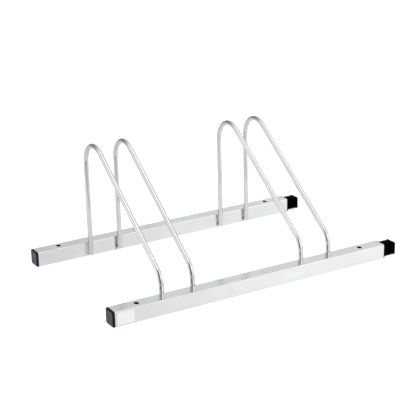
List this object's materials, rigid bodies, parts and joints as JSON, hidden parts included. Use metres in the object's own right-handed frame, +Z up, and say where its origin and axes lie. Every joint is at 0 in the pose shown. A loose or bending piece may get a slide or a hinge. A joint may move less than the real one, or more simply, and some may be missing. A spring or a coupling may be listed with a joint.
{
  "type": "bicycle floor rack",
  "caption": "Low welded steel rack of square rails and bent round-bar hoops that holds bicycle wheels upright on the floor, with plastic plugs that join it to a next rack.",
  "frame": {"origin": "on the floor, at the middle of the rack's outline", "axes": "+X along the rails from the end caps to the coupling inserts, +Y from the front rail to the rear rail, +Z up"},
  "size_m": [0.6302, 0.3706, 0.247],
  "materials": {
    "zinc_steel": "bright zinc plating with faint streaks",
    "weld_metal": "rough zinc-coated weld bead",
    "black_plastic": "moulded, slightly rough",
    "label_white": "smooth coated paper, blank"
  },
  "bodies": {
    "frame": {"front_rail": "zinc_steel", "rear_rail": "zinc_steel", "hoop_1": "zinc_steel", "hoop_2": "zinc_steel", "hoop_3": "zinc_steel", "hoop_4": "zinc_steel", "blank_label": "label_white", "weld_front_1_lower_left": "weld_metal", "weld_front_1_lower_right": "weld_metal", "weld_front_1_upper_left": "weld_metal", "weld_front_1_upper_right": "weld_metal", "weld_front_2_lower_left": "weld_metal", "weld_front_2_lower_right": "weld_metal", "weld_front_2_upper_left": "weld_metal", "weld_front_2_upper_right": "weld_metal", "weld_front_3_lower_left": "weld_metal", "weld_front_3_lower_right": "weld_metal", "weld_front_3_upper_left": "weld_metal", "weld_front_3_upper_right": "weld_metal", "weld_front_4_lower_left": "weld_metal", "weld_front_4_lower_right": "weld_metal", "weld_front_4_upper_left": "weld_metal", "weld_front_4_upper_right": "weld_metal", "weld_rear_1_lower_left": "weld_metal", "weld_rear_1_lower_right": "weld_metal", "weld_rear_1_upper_left": "weld_metal", "weld_rear_1_upper_right": "weld_metal", "weld_rear_2_lower_left": "weld_metal", "weld_rear_2_lower_right": "weld_metal", "weld_rear_2_upper_left": "weld_metal", "weld_rear_2_upper_right": "weld_metal", "weld_rear_3_lower_left": "weld_metal", "weld_rear_3_lower_right": "weld_metal", "weld_rear_3_upper_left": "weld_metal", "weld_rear_3_upper_right": "weld_metal", "weld_rear_4_lower_left": "weld_metal", "weld_rear_4_lower_right": "weld_metal", "weld_rear_4_upper_left": "weld_metal", "weld_rear_4_upper_right": "weld_metal"},
    "front_cap": {"front_end_cap": "black_plastic"},
    "rear_cap": {"rear_end_cap": "black_plastic"},
    "front_insert": {"front_coupling_insert": "black_plastic"},
    "rear_insert": {"rear_coupling_insert": "black_plastic"}
  },
  "joints": [
    {"name": "front_cap_pull", "type": "slide", "parent": "frame", "child": "front_cap", "axis": [-1, 0, 0], "range_m": [0, 0.04]},
    {"name": "rear_cap_pull", "type": "slide", "parent": "frame", "child": "rear_cap", "axis": [-1, 0, 0], "range_m": [0, 0.04]},
    {"name": "front_insert_pull", "type": "slide", "parent": "frame", "child": "front_insert", "axis": [1, 0, 0], "range_m": [0, 0.06]},
    {"name": "rear_insert_pull", "type": "slide", "parent": "frame", "child": "rear_insert", "axis": [1, 0, 0], "range_m": [0, 0.06]}
  ]
}
